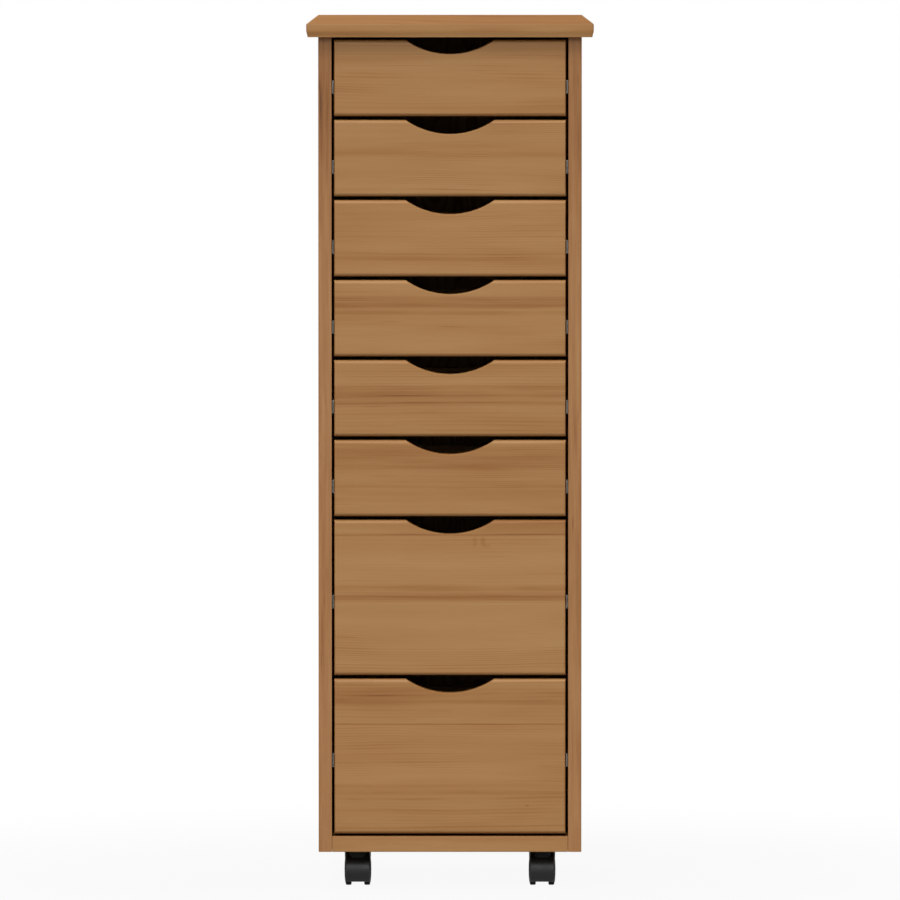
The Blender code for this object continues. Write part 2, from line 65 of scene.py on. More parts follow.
class Tree:
    """A material and short calls for its nodes. Every value may be a number or a socket."""

    def __init__(self, name):
        self.material = bpy.data.materials.new(name)
        self.material.use_nodes = True
        self.nodes = self.material.node_tree.nodes
        self.links = self.material.node_tree.links
        self.shader = self.nodes["Principled BSDF"]

    def put(self, socket, value):
        if isinstance(value, bpy.types.NodeSocket):
            self.links.new(value, socket)
        else:
            socket.default_value = value

    def math(self, operation, *values, clamp=False):
        node = self.nodes.new("ShaderNodeMath")
        node.operation = operation
        node.use_clamp = clamp
        for socket, value in zip(node.inputs, values):
            self.put(socket, value)
        return node.outputs[0]

    def add(self, first, second):
        return self.math("ADD", first, second)

    def take(self, first, second):
        return self.math("SUBTRACT", first, second)

    def mul(self, first, second):
        return self.math("MULTIPLY", first, second)

    def fit(self, value, factor, offset):
        return self.math("MULTIPLY_ADD", value, factor, offset)

    def smooth(self, value, low, high, start=0.0, end=1.0):
        node = self.nodes.new("ShaderNodeMapRange")
        node.interpolation_type = "SMOOTHSTEP"
        for name, level in (
            ("Value", value),
            ("From Min", low),
            ("From Max", high),
            ("To Min", start),
            ("To Max", end),
        ):
            self.put(node.inputs[name], level)
        return node.outputs[0]

    def split(self, vector):
        node = self.nodes.new("ShaderNodeSeparateXYZ")
        self.put(node.inputs[0], vector)
        return node.outputs

    def join(self, x, y, z):
        node = self.nodes.new("ShaderNodeCombineXYZ")
        for socket, value in zip(node.inputs, (x, y, z)):
            self.put(socket, value)
        return node.outputs[0]

    def noise(self, vector, detail=2.0, roughness=0.5):
        """Noise around zero, from about -0.5 to 0.5."""
        node = self.nodes.new("ShaderNodeTexNoise")
        node.inputs["Scale"].default_value = 1
        node.inputs["Detail"].default_value = detail
        node.inputs["Roughness"].default_value = roughness
        self.put(node.inputs["Vector"], vector)
        return self.take(node.outputs[0], 0.5)

    def white(self, value):
        """Three random levels that depend on one value."""
        node = self.nodes.new("ShaderNodeTexWhiteNoise")
        node.noise_dimensions = "1D"
        self.put(node.inputs["W"], value)
        return self.split(node.outputs["Color"])

    def ramp(self, factor, stops):
        node = self.nodes.new("ShaderNodeValToRGB")
        elements = node.color_ramp.elements
        while len(elements) < len(stops):
            elements.new(0.5)
        for element, (place, colour) in zip(elements, stops):
            element.position = place
            element.color = colour
        self.put(node.inputs[0], factor)
        return node.outputs[0]

    def mix(self, factor, first, second, blend="MIX"):
        node = self.nodes.new("ShaderNodeMix")
        node.data_type = "RGBA"
        node.blend_type = blend
        self.put(node.inputs[0], factor)
        self.put(node.inputs[6], first)
        self.put(node.inputs[7], second)
        return node.outputs[2]

    def bump(self, height, distance, strength=1.0):
        node = self.nodes.new("ShaderNodeBump")
        node.inputs["Strength"].default_value = strength
        node.inputs["Distance"].default_value = distance
        self.put(node.inputs["Height"], height)
        self.put(self.shader.inputs["Normal"], node.outputs[0])

    def places(self):
        """Object coordinates and normals, apart."""
        node = self.nodes.new("ShaderNodeTexCoord")
        return self.split(node.outputs["Object"]), self.split(node.outputs["Normal"])

    def finish(self, colour, roughness, **fixed):
        self.put(self.shader.inputs["Base Color"], colour)
        self.put(self.shader.inputs["Roughness"], roughness)
        for name, value in fixed.items():
            self.shader.inputs[name.replace("_", " ")].default_value = value
        return self.material


# Wood


def along_and_across(grain, place, normal):
    """(along the grain, through the board, across the board, how far a face looks along the grain)."""
    x, y, z = place
    if grain == "front":
        return x, y, z, normal[0]
    if grain == "board":
        return x, z, y, normal[0]
    if grain == "upright":
        return z, x, y, normal[2]
    if grain == "sheet":
        return z, y, x, normal[2]
    return y, x, z, normal[1]


def pine(
    name,
    grain,
    tones,
    cuts,
    seed,
    middle=0.0,
    seams=(),
    bands=(),
    knots=(),
    stains=(),
    life=1.0,
    streaky=1.0,
    painted_shade_along=None,
):
    """Solid pine: growth rings about a pith beside each stave, streaks, fibres, glue seams, darker bands,
    knots and faint stains. cuts are the lower edges of the staves, and seams are places across the board.
    Bands are (across, reach, share), knots (along, across, radius) and stains (along, across, length, width,
    share). life scales the broad figure, streaky the fine streaks, and the last argument paints shade: it
    darkens the board along its length, as (start, end, first share, last share), towards the upper end of
    the side boards."""
    t = Tree(name)
    place, normal = t.places()
    along, thick, wide, facing = along_and_across(grain, place, normal)

    stave = float(seed)
    base = float(cuts[0])
    for low, high in zip(cuts, cuts[1:]):
        over = t.math("GREATER_THAN", wide, high)
        stave = t.add(stave, over)
        base = t.fit(over, high - low, base)
    first, second, third = t.white(stave)
    start = t.fit(first, 4.0, along)
    inward = t.mul(second, 9.0)

    def wave(across, stretch, fineness, detail, shift):
        sideways = t.fit(across, fineness, shift)
        through = t.fit(thick, fineness, inward)
        return t.noise(t.join(t.mul(start, stretch), through, sideways), detail)

    sway = wave(wide, 2.0, 9.0, 1.0, 0.0)
    ripple = wave(wide, 9.0, 48.0, 1.0, 3.0)
    bent = t.fit(sway, 0.02, t.fit(ripple, 0.0026, wide))

    knot_dark = 0.0
    for knot_along, knot_across, radius in knots:
        offset = t.take(wide, knot_across)
        down = t.math("DIVIDE", offset, radius)
        side = t.math("DIVIDE", t.take(along, knot_along), radius * 1.35)
        ragged = t.mul(wave(wide, 90.0, 190.0, 1.0, 5.0), 0.45)
        far = t.add(t.math("SQRT", t.add(t.mul(down, down), t.mul(side, side))), ragged)
        near = t.smooth(far, 0.3, 3.6, 1.0, 0.0)
        bent = t.take(bent, t.mul(t.mul(offset, near), 0.8))
        core = t.smooth(far, 0.75, 1.1, 1.0, 0.0)
        rings = t.fit(t.math("SINE", t.mul(far, 15.0)), 0.1, 0.4)
        rim = t.smooth(t.math("ABSOLUTE", t.take(far, 1.0)), 0.0, 0.3, 0.4, 0.0)
        halo = t.smooth(far, 1.0, 2.8, 0.14, 0.0)
        knot_dark = t.add(knot_dark, t.add(t.add(t.mul(core, rings), rim), halo))
    for stain_along, stain_across, length, width, share in stains:
        side = t.math("DIVIDE", t.take(along, stain_along), length)
        down = t.math("DIVIDE", t.take(wide, stain_across), width)
        far = t.add(t.mul(side, side), t.mul(down, down))
        knot_dark = t.add(knot_dark, t.smooth(far, 0.1, 1.4, 2.4 * share, 0.0))

    lateral = t.take(bent, t.take(base, t.fit(second, 0.06, 0.03)))
    depth = t.take(thick, t.fit(third, 0.05, middle + 0.012))
    radius = t.math("SQRT", t.add(t.mul(lateral, lateral), t.mul(depth, depth)))
    uneven = t.noise(t.join(t.mul(radius, 75.0), t.mul(first, 7.0), 0.0), 1.0)
    count = t.math("DIVIDE", t.fit(uneven, 0.006, radius), t.fit(third, 0.0018, 0.0026))
    share = t.math("FRACT", count)
    strength = t.white(t.add(t.math("FLOOR", count), t.mul(first, 100.0)))[0]
    late = t.mul(t.smooth(share, 0.35, 0.86), t.smooth(share, 0.88, 1.0, 1.0, 0.0))
    patch = t.smooth(wave(bent, 7.5, 34.0, 1.0, 71.0), -0.16, 0.22)
    late = t.mul(t.mul(late, t.fit(strength, 0.8, 0.2)), patch)

    broad = wave(bent, 3.0, 42.0, 2.0, 11.0)
    streak = wave(bent, 9.0, 170.0, 2.0, 17.0)
    line = t.smooth(wave(bent, 14.0, 330.0, 1.0, 29.0), 0.17, 0.34)
    dash = t.smooth(wave(bent, 11.0, 400.0, 1.0, 53.0), 0.2, 0.32)
    fine = wave(bent, 14.0, 800.0, 1.0, 23.0)
    fibre = wave(bent, 50.0, 3400.0, 1.0, 37.0)

    dark = t.fit(late, 0.32 * life, 0.33)
    dark = t.fit(broad, 0.58 * life, dark)
    dark = t.fit(streak, 0.26 * streaky, dark)
    dark = t.fit(line, 0.2 * streaky, dark)
    dark = t.fit(dash, 0.17, dark)
    dark = t.fit(fine, 0.1 * streaky, dark)
    dark = t.fit(fibre, 0.11 * streaky, dark)
    dark = t.add(dark, t.fit(third, 0.12 * life, -0.06 * life))
    # Painted shade: the board darkened along its length, towards the upper end on the side boards.
    if painted_shade_along:
        dark = t.add(dark, t.smooth(along, *painted_shade_along))
    for centre, reach, depth_share in bands:
        away = t.math("ABSOLUTE", t.take(t.fit(sway, 0.006, t.fit(ripple, 0.0016, wide)), centre))
        belt = t.smooth(away, 0.35 * reach, 1.3 * reach, 2.6 * depth_share, 0.0)
        dark = t.add(dark, t.mul(belt, t.fit(streak, 1.3, t.fit(broad, 0.6, 0.95))))
    for seam in seams:
        away = t.math("ABSOLUTE", t.take(t.fit(ripple, 0.0012, wide), seam))
        dark = t.add(dark, t.mul(t.smooth(away, 0.0003, 0.0011, 0.5, 0.0), t.fit(streak, 1.2, 0.8)))
    dark = t.math("ADD", dark, knot_dark, clamp=True)

    light, mid, deep, knot_tone = tones
    colour = t.ramp(dark, ((0.0, light), (0.4, mid), (0.8, deep), (1.0, knot_tone)))
    warmer = t.fit(first, 0.04, t.fit(broad, -0.07, 0.965))
    colour = t.mix(1.0, colour, t.join(1.0, warmer, t.fit(warmer, 1.6, -0.6)), "MULTIPLY")
    end = t.smooth(t.math("ABSOLUTE", facing), 0.72, 0.96)
    pores = t.noise(t.join(t.mul(along, 40.0), t.mul(thick, 1500.0), t.mul(wide, 1500.0)), 2.0)
    end_tone = t.join(t.fit(pores, 0.2, 0.82), t.fit(pores, 0.22, 0.76), t.fit(pores, 0.22, 0.68))
    colour = t.mix(end, colour, t.mix(1.0, colour, end_tone, "MULTIPLY"))
    if grain == "board":
        # Painted shade: the up-facing chamfer of a flat board is darkened and warmed in colour, to temper
        # the light it catches.
        painted_chamfer_shade = t.mul(t.smooth(normal[2], 0.35, 0.6), t.smooth(normal[2], 0.9, 0.98, 1.0, 0.0))
        colour = t.mix(painted_chamfer_shade, colour, t.mix(1.0, colour, (0.77, 0.685, 0.5, 1.0), "MULTIPLY"))

    height = t.fit(fine, 0.5, t.fit(fibre, 0.5, t.mul(late, -0.35)))
    t.bump(height, 0.00012, 0.6)
    roughness = t.fit(end, 0.2, t.fit(fine, 0.2, t.fit(late, -0.05, 0.46)))
    return t.finish(colour, roughness, Coat_Weight=0.03, Coat_Roughness=0.3, Specular_IOR_Level=0.24)


def plywood(name, grain, tones, seed, centre=None, thickness=0.004):
    """Rotary-cut veneer with wide, wandering figure, and plies on the edges where a centre is given."""
    t = Tree(name)
    place, normal = t.places()
    along, thick, wide, _ = along_and_across(grain, place, normal)
    low = t.noise(t.join(t.fit(along, 2.1, seed), seed, t.mul(wide, 9.0)), 2.0)
    small = t.noise(t.join(t.fit(along, 7.0, seed), 1.0, t.mul(wide, 40.0)), 2.0)
    count = t.math("DIVIDE", t.fit(low, 0.11, t.mul(small, 0.008)), 0.0042)
    share = t.math("FRACT", count)
    late = t.mul(t.smooth(share, 0.25, 0.85), t.smooth(share, 0.88, 1.0, 1.0, 0.0))
    streak = t.noise(t.join(t.fit(along, 4.0, seed), 2.0, t.mul(wide, 260.0)), 3.0)
    fibre = t.noise(t.join(t.mul(along, 60.0), t.mul(thick, 2500.0), t.mul(wide, 2500.0)), 1.0)
    dark = t.fit(late, 0.34, t.fit(streak, 0.5, t.fit(fibre, 0.35, 0.33)))
    dark = t.math("ADD", dark, t.mul(low, 0.3), clamp=True)
    light, mid, deep, edge_tone = tones
    colour = t.ramp(dark, ((0.0, light), (0.45, mid), (1.0, deep)))
    if centre is not None:
        level = t.math("DIVIDE", t.take(thick, centre - thickness / 2), thickness)
        core = t.smooth(t.math("ABSOLUTE", t.take(level, 0.5)), 0.13, 0.2, 0.75, 0.0)
        sidelong = t.smooth(t.math("ABSOLUTE", normal[2 if grain == "board" else 1]), 0.3, 0.7, 1.0, 0.0)
        colour = t.mix(t.mul(sidelong, core), colour, edge_tone)
    t.bump(t.fit(fibre, 0.6, t.mul(late, -0.4)), 0.0001, 0.6)
    return t.finish(colour, t.fit(streak, 0.15, 0.58), Specular_IOR_Level=0.35)


OILED = (srgb(171, 130, 83), srgb(156, 112, 65), srgb(134, 86, 40), srgb(78, 47, 24))
OILED_UPRIGHT = (srgb(170, 127, 84), srgb(154, 109, 66), srgb(128, 83, 43), srgb(79, 47, 25))
PALE = (srgb(226, 196, 150), srgb(213, 180, 132), srgb(185, 145, 97), srgb(122, 82, 50))
VENEER = (srgb(214, 182, 136), srgb(201, 166, 119), srgb(172, 131, 86), srgb(120, 86, 54))

FRONT_CUTS = (0.0, 0.1256, 0.2108, 0.2714, 0.366, 0.4523, 0.4737, 0.5755, 0.6773, 0.7791, 0.8809, 0.9827)
FRONT_BANDS = (
    (1.0600, 0.004, 0.02),
    (0.9960, 0.003, 0.03),
    (0.9363, 0.004, 0.03),
    (0.8910, 0.003, 0.03),
    (0.8099, 0.002, 0.035),
    (0.8040, 0.003, 0.045),
    (0.7537, 0.004, 0.06),
    (0.7457, 0.004, 0.085),
    (0.7357, 0.003, 0.075),
    (0.6389, 0.004, 0.065),
    (0.6299, 0.005, 0.085),
    (0.6199, 0.003, 0.07),
    (0.5520, 0.018, 0.05),
    (0.5386, 0.003, 0.06),
    (0.5141, 0.002, 0.06),
    (0.3853, 0.004, 0.07),
    (0.3790, 0.010, 0.07),
    (0.3723, 0.004, 0.08),
    (0.2480, 0.010, 0.055),
    (0.2380, 0.0035, 0.055),
    (0.1310, 0.0025, 0.04),
    (0.1230, 0.0025, 0.065),
    (0.1004, 0.0025, 0.035),
    (0.7440, 0.013, 0.018),
    (0.6300, 0.013, 0.032),
    (0.6260, 0.04, -0.03),
    (0.3720, 0.08, -0.045),
    (0.1700, 0.08, -0.02),
    (0.5250, 0.04, 0.025),
)
FRONT_STAINS = (
    (0.0315, 0.4435, 0.0032, 0.0075, 0.06),
    (0.0420, 0.4440, 0.0036, 0.0075, 0.07),
    (0.0470, 0.4385, 0.0050, 0.0028, 0.05),
    (0.0980, 0.1070, 0.0030, 0.0010, 0.12),
)

pine_front = pine(
    "pine_front",
    "front",
    OILED,
    FRONT_CUTS,
    seed=3,
    middle=-0.1665,
    seams=(0.4523, 0.2108),
    bands=FRONT_BANDS,
    stains=FRONT_STAINS,
    life=1.0,
    streaky=0.66,
)
pine_top = pine(
    "pine_top",
    "board",
    OILED,
    (-0.25, -0.118, -0.045, 0.022, 0.081, 0.142),
    seed=31,
    middle=1.0996,
    seams=(-0.118, -0.045, 0.022, 0.081, 0.142),
    knots=((0.098, -0.072, 0.006), (-0.121, 0.053, 0.005), (0.052, 0.112, 0.003)),
)
pine_bottom = pine(
    "pine_bottom",
    "board",
    OILED,
    (-0.25, -0.101, -0.028, 0.049, 0.117),
    seed=47,
    middle=0.059,
    seams=(-0.101, -0.028, 0.049, 0.117),
    knots=((0.045, -0.06, 0.007), (-0.085, 0.08, 0.005)),
)
pine_left = pine(
    "pine_left",
    "upright",
    OILED_UPRIGHT,
    (-0.25, -0.112, -0.049, 0.031, 0.092, 0.147),
    seed=61,
    life=0.8,
    streaky=3.2,
    painted_shade_along=(0.8, 0.97, 0.0, 0.19),
    middle=-0.159,
    seams=(-0.112, -0.049, 0.031, 0.092, 0.147),
    knots=(
        (0.78, -0.078, 0.008),
        (0.31, -0.014, 0.007),
        (0.55, 0.061, 0.009),
        (0.95, 0.118, 0.006),
        (0.16, 0.168, 0.007),
    ),
)
pine_right = pine(
    "pine_right",
    "upright",
    OILED_UPRIGHT,
    (-0.25, -0.098, -0.036, 0.018, 0.085, 0.151),
    seed=83,
    life=0.8,
    streaky=3.2,
    painted_shade_along=(0.8, 0.97, 0.0, 0.19),
    middle=0.159,
    seams=(-0.098, -0.036, 0.018, 0.085, 0.151),
    knots=(
        (0.62, -0.134, 0.006),
        (0.86, 0.054, 0.009),
        (0.24, -0.066, 0.008),
        (0.45, 0.119, 0.007),
        (0.71, 0.004, 0.005),
    ),
)
pine_box_side = pine("pine_box_side", "deep", PALE, (0.0, *FRONT_CUTS[3:]), seed=101, life=0.8)
pine_box_back = pine("pine_box_back", "front", PALE, (0.0, *FRONT_CUTS[3:]), seed=131, life=0.8)
ply_floor = plywood("ply_floor", "board", VENEER, seed=5.0)
ply_back = plywood("ply_back", "sheet", VENEER, seed=9.0)


# Metal and plastic


def steel(name, colour, roughness, stretch):
    """Zinc-plated steel with a faint drawn grain and cloudy plating."""
    t = Tree(name)
    (x, y, z), _ = t.places()
    drawn = t.noise(t.join(t.mul(x, 900.0), t.mul(y, stretch), t.mul(z, 900.0)), 2.0)
    cloud = t.noise(t.join(t.mul(x, 60.0), t.mul(y, 25.0), t.mul(z, 60.0)), 3.0)
    level = t.fit(cloud, 0.35, t.fit(drawn, 0.16, 0.5))
    shade = t.ramp(level, ((0.25, srgb(*[c - 26 for c in colour])), (0.75, srgb(*colour))))
    t.bump(drawn, 0.00004, 0.5)
    return t.finish(shade, t.fit(cloud, 0.18, t.fit(drawn, 0.12, roughness)), Metallic=1.0)


def plastic(name, colour, roughness, grain_size, depth, gloss=0.2):
    """Moulded plastic with a fine texture and faint handling marks."""
    t = Tree(name)
    (x, y, z), _ = t.places()
    fine = 1 / grain_size
    grain = t.noise(t.join(t.mul(x, fine), t.mul(y, fine), t.mul(z, fine)), 2.0)
    cloud = t.noise(t.join(t.mul(x, 70.0), t.mul(y, 70.0), t.mul(z, 70.0)), 3.0)
    level = t.fit(cloud, 0.7, t.fit(grain, 0.25, 0.5))
    dark, pale = [max(c - 6, 0) for c in colour], [c + 6 for c in colour]
    shade = t.ramp(level, ((0.2, srgb(*dark)), (0.8, srgb(*pale))))
    t.bump(grain, depth, 0.7)
    return t.finish(shade, t.fit(cloud, 0.22, t.fit(grain, 0.1, roughness)), Specular_IOR_Level=gloss)


zinc = steel("zinc", (196, 199, 202), 0.34, 18.0)
# Darker, warmer zinc for the channel tabs: painted shade and a painted reflection of the wood around them.
painted_shade_zinc = steel("painted_shade_zinc", (158, 152, 144), 0.42, 300.0)
screw_steel = steel("screw_steel", (206, 207, 205), 0.28, 300.0)
hood_plastic = plastic("hood_plastic", (14, 14, 14), 0.42, 0.0006, 0.00002, 0.3)
neck_plastic = plastic("neck_plastic", (15, 15, 15), 0.45, 0.0006, 0.00002, 0.1)
disc_plastic = plastic("disc_plastic", (14, 14, 14), 0.5, 0.0005, 0.00003, 0.02)
tyre_plastic = plastic("tyre_plastic", (12, 12, 12), 0.6, 0.0011, 0.00006, 0.02)
cap_plastic = plastic("cap_plastic", (128, 88, 54), 0.42, 0.0006, 0.00003)


# Meshes


SHARP = math.radians(38)


def add_mesh(name, shape):
    """A smooth-shaded object from a bmesh, with sharp edges kept and flat faces shaded flat."""
    bmesh.ops.recalc_face_normals(shape, faces=shape.faces)
    mesh = bpy.data.meshes.new(name)
    shape.to_mesh(mesh)
    shape.free()
    mesh.shade_smooth()
    mesh.set_sharp_from_angle(angle=SHARP)
    piece = bpy.data.objects.new(name, mesh)
    SCENE.collection.objects.link(piece)
    weighted = piece.modifiers.new("even_faces", "WEIGHTED_NORMAL")
    weighted.keep_sharp = True
    weighted.weight = 100
    return piece


def dress(piece, material, body, slot, *nodes):
    """Gives a piece its material and its body, and hides the CAD nodes it stands for; the slot is not used.
    """
    piece.data.materials.clear()
    piece.data.materials.append(material)
    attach(piece, body)
    if nodes:
        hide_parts(*nodes)
    return piece


def prism(outline, low, high, axis):
    """An outline drawn out along an axis: (y, z) points for X, (x, z) for Y and (x, y) for Z."""
    shape = bmesh.new()

    def corner(point, level):
        first, second = point
        if axis == "X":
            return (level, first, second)
        if axis == "Y":
            return (first, level, second)
        return (first, second, level)

    near = [shape.verts.new(corner(point, low)) for point in outline]
    far = [shape.verts.new(corner(point, high)) for point in outline]
    shape.faces.new(near)
    shape.faces.new(far[::-1])
    for place in range(len(outline)):
        following = (place + 1) % len(outline)
        shape.faces.new((near[place], near[following], far[following], far[place]))
    bmesh.ops.recalc_face_normals(shape, faces=shape.faces)
    return shape


def bridged(rings):
    """A closed form through rings of (x, y, z) corners, with a face at each end."""
    shape = bmesh.new()
    rows = [[shape.verts.new(corner) for corner in ring] for ring in rings]
    for lower, upper in zip(rows, rows[1:]):
        for place in range(len(lower)):
            following = (place + 1) % len(lower)
            shape.faces.new((lower[place], lower[following], upper[following], upper[place]))
    shape.faces.new(rows[0][::-1])
    shape.faces.new(rows[-1])
    return shape


def block(low, high):
    base = ((low[0], low[1]), (high[0], low[1]), (high[0], high[1]), (low[0], high[1]))
    return prism(base, low[2], high[2], "Z")


def round_edges(shape, width, steps=2, angle=50.0, chosen=None):
    """Rounds the outward edges sharper than an angle."""
    limit = math.radians(angle)
    edges = [
        edge
        for edge in shape.edges
        if edge.is_convex and edge.calc_face_angle() > limit and (chosen is None or chosen(edge))
    ]
    bmesh.ops.bevel(
        shape,
        geom=edges,
        offset=width,
        offset_type="OFFSET",
        segments=steps,
        profile=0.5,
        affect="EDGES",
        clamp_overlap=True,
    )
    return shape


def arc(centre, radius, start, end, steps):
    """Points along a circular arc, both ends included."""
    points = []
    for step in range(steps + 1):
        angle = start + (end - start) * step / steps
        points.append((centre[0] + radius * math.cos(angle), centre[1] + radius * math.sin(angle)))
    return points


def turned(shape, profile, steps, matrix):
    """Adds a turned form: (radius, distance along) pairs about Z, placed by the matrix."""
    rings = []
    for radius, level in profile:
        if radius == 0:
            rings.append([shape.verts.new(matrix @ Vector((0, 0, level)))])
            continue
        ring = []
        for step in range(steps):
            angle = 2 * math.pi * step / steps
            point = Vector((radius * math.cos(angle), radius * math.sin(angle), level))
            ring.append(shape.verts.new(matrix @ point))
        rings.append(ring)
    for lower, upper in zip(rings, rings[1:]):
        for step in range(steps):
            following = (step + 1) % steps
            if len(lower) == 1:
                corners = (lower[0], upper[following], upper[step])
            elif len(upper) == 1:
                corners = (lower[step], lower[following], upper[0])
            else:
                corners = (lower[step], lower[following], upper[following], upper[step])
            shape.faces.new(corners)


def boolean(shape, operation, tool_shape):
    """The bmesh after a Boolean with another one."""
    helpers = []
    for source in (shape, tool_shape):
        mesh = bpy.data.meshes.new("helper")
        source.to_mesh(mesh)
        source.free()
        helper = bpy.data.objects.new("helper", mesh)
        SCENE.collection.objects.link(helper)
        helpers.append(helper)
    step = helpers[0].modifiers.new("step", "BOOLEAN")
    step.operation = operation
    step.object = helpers[1]
    bpy.context.view_layer.update()
    graph = bpy.context.evaluated_depsgraph_get()
    mesh = bpy.data.meshes.new_from_object(helpers[0].evaluated_get(graph))
    for helper in helpers:
        bpy.data.objects.remove(helper)
    result = bmesh.new()
    result.from_mesh(mesh)
    bpy.data.meshes.remove(mesh)
    bmesh.ops.remove_doubles(result, verts=result.verts, dist=0.00001)
    return result


def screw_shape(radius, height, recess):
    """A pan head with a cross recess, standing on the XY plane."""
    head = bmesh.new()
    profile = [(0, 0), (radius, 0)]
    profile += [(radius * math.cos(a), height * (0.25 + 0.75 * math.sin(a))) for a in (0.0, 0.4, 0.8, 1.2)]
    profile.append((0, height))
    turned(head, profile, 20, Matrix.Identity(4))
    bmesh.ops.recalc_face_normals(head, faces=head.faces)
    arm = radius * 0.62
    thin = radius * 0.13
    outline = (
        (arm, thin),
        (thin, thin),
        (thin, arm),
        (-thin, arm),
        (-thin, thin),
        (-arm, thin),
        (-arm, -thin),
        (-thin, -thin),
        (-thin, -arm),
        (thin, -arm),
        (thin, -thin),
        (arm, -thin),
    )
    cross = prism(outline, height - recess, height * 2, "Z")
    return boolean(head, "DIFFERENCE", cross)


SCREW = bpy.data.meshes.new("screw")
screw_source = screw_shape(1.0, 0.42, 0.26)
screw_source.to_mesh(SCREW)
screw_source.free()


def screws(name, places, axis, radius, turns=0.4):
    """One piece with a screw head at each place, looking along the axis."""
    shape = bmesh.new()
    facing = Vector(axis).to_track_quat("Z", "Y").to_matrix().to_4x4()
    for number, place in enumerate(places):
        turn = Matrix.Rotation(turns + number * 1.1, 4, "Z")
        matrix = Matrix.Translation(place) @ facing @ turn @ Matrix.Scale(radius, 4)
        known = set(shape.verts)
        shape.from_mesh(SCREW)
        added = [corner for corner in shape.verts if corner not in known]
        bmesh.ops.transform(shape, matrix=matrix, verts=added)
    return add_mesh(name, shape)


# Carcass


def top_board():
    """The moulded board: a face that turns under, a wide chamfer above it, soft corners, a square back."""
    low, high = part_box("top_panel")
    chamfer_width = 0.014
    chamfer_height = 0.0117
    under = 0.0017
    foot_round = 0.0003
    face = high.z - low.z - chamfer_height
    corner_radius = 0.0022
    profile = []
    for step in range(7):
        angle = math.pi / 2 * step / 6
        inset = under + foot_round * (1 - math.sin(angle))
        profile.append((inset, foot_round * (1 - math.cos(angle))))
    profile += [(under, 0.0012), (0.00118, 0.0032), (0.00066, 0.005), (0.00041, 0.006), (0.0002, 0.007)]
    profile += [(0.00006, 0.0082), (0.0, 0.0098), (0.0, face - 0.0006)]
    for share in (0.02, 0.05, 0.09):
        profile.append((chamfer_width * share, face + chamfer_height * share * 0.98 - 0.0002))
    for share in (0.3, 0.6, 0.9, 0.955, 0.985):
        rise = chamfer_height * (share - 0.012 * share)
        profile.append((chamfer_width * share + 0.0012 * share, face + rise))
    profile.append((chamfer_width + 0.0017, high.z - low.z))
    rings = []
    for inset, height in profile:
        left, right, front = low.x + inset, high.x - inset, low.y + inset
        level = low.z + height
        turn_left = (left + corner_radius, front + corner_radius)
        turn_right = (right - corner_radius, front + corner_radius)
        points = [(left, high.y)]
        points += arc(turn_left, corner_radius, math.pi, 1.5 * math.pi, 4)
        points += arc(turn_right, corner_radius, 1.5 * math.pi, 2 * math.pi, 4)
        points.append((right, high.y))
        rings.append([(x, y, level) for x, y in points])
    return dress(add_mesh("top_board", bridged(rings)), pine_top, "cabinet", "pine", "top_panel")


def side_board(side, material):
    """An upright board with soft front arrises and a rebate behind for the back."""
    name = f"side_panel_{side}"
    low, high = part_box(name)
    sign = -1 if side == "left" else 1
    outer = high.x if sign > 0 else low.x
    inner = low.x if sign > 0 else high.x
    into = -sign
    soft = 0.0028
    tight = 0.0006
    half = math.pi / 2
    outline = [(outer, high.y)]
    for turn in range(6):
        angle = half * turn / 5
        outline.append((outer + into * soft * (1 - math.cos(angle)), low.y + soft * (1 - math.sin(angle))))
    for turn in range(6):
        angle = half * turn / 5
        outline.append((inner - into * tight * (1 - math.sin(angle)), low.y + tight * (1 - math.cos(angle))))
    step, cheek = high.y - 0.0043, inner - into * 0.009
    outline += [(inner, step), (cheek, step), (cheek, high.y)]
    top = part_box("top_panel")[0].z - UNDER_TOP

    def below_top(edge):
        return edge.verts[0].co.z + edge.verts[1].co.z < 2 * top - 0.001

    shape = round_edges(prism(outline, low.z, top, "Z"), 0.0006, chosen=below_top)
    return dress(add_mesh(f"side_board_{side}", shape), material, "cabinet", "pine", name)


def bottom_board():
    """The board between the side boards, with soft front edges."""
    low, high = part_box("bottom_panel")
    soft = 0.001
    outline = [(high.y, low.z), (high.y, high.z)]
    outline += arc((low.y + soft, high.z - soft), soft, math.pi / 2, math.pi, 4)
    outline += arc((low.y + soft, low.z + soft), soft, math.pi, 1.5 * math.pi, 4)
    shape = round_edges(prism(outline, low.x, high.x, "X"), 0.0003, 1)
    return dress(add_mesh("bottom_board", shape), pine_bottom, "cabinet", "pine", "bottom_panel")


def back_board():
    """The thin back, held by small flat-headed nails along its edges."""
    low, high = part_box("back_panel")
    rear = high.y - 0.0003
    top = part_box("top_panel")[0].z - UNDER_TOP
    shape = round_edges(block(low, (high.x, rear, top)), 0.0004, 1)
    dress(add_mesh("back_board", shape), ply_back, "cabinet", "plywood", "back_panel")
    nails = bmesh.new()
    facing = Vector((0, 1, 0)).to_track_quat("Z", "Y").to_matrix().to_4x4()
    places = []
    count = 10
    margin = 0.0055
    for step in range(count):
        level = low.z + 0.012 + (high.z - low.z - 0.024) * step / (count - 1)
        places += [(low.x + margin, level), (high.x - margin, level)]
    for across in (-0.09, 0.0, 0.09):
        places.append((across, low.z + 0.009))
    head = ((0, 0.0003), (0.0010, 0.00026), (0.0017, 0.00010), (0.0018, -0.0004))
    for across, level in places:
        matrix = Matrix.Translation((across, rear, level)) @ facing
        turned(nails, head, 14, matrix)
    dress(add_mesh("back_nails", nails), screw_steel, "cabinet", "zinc")


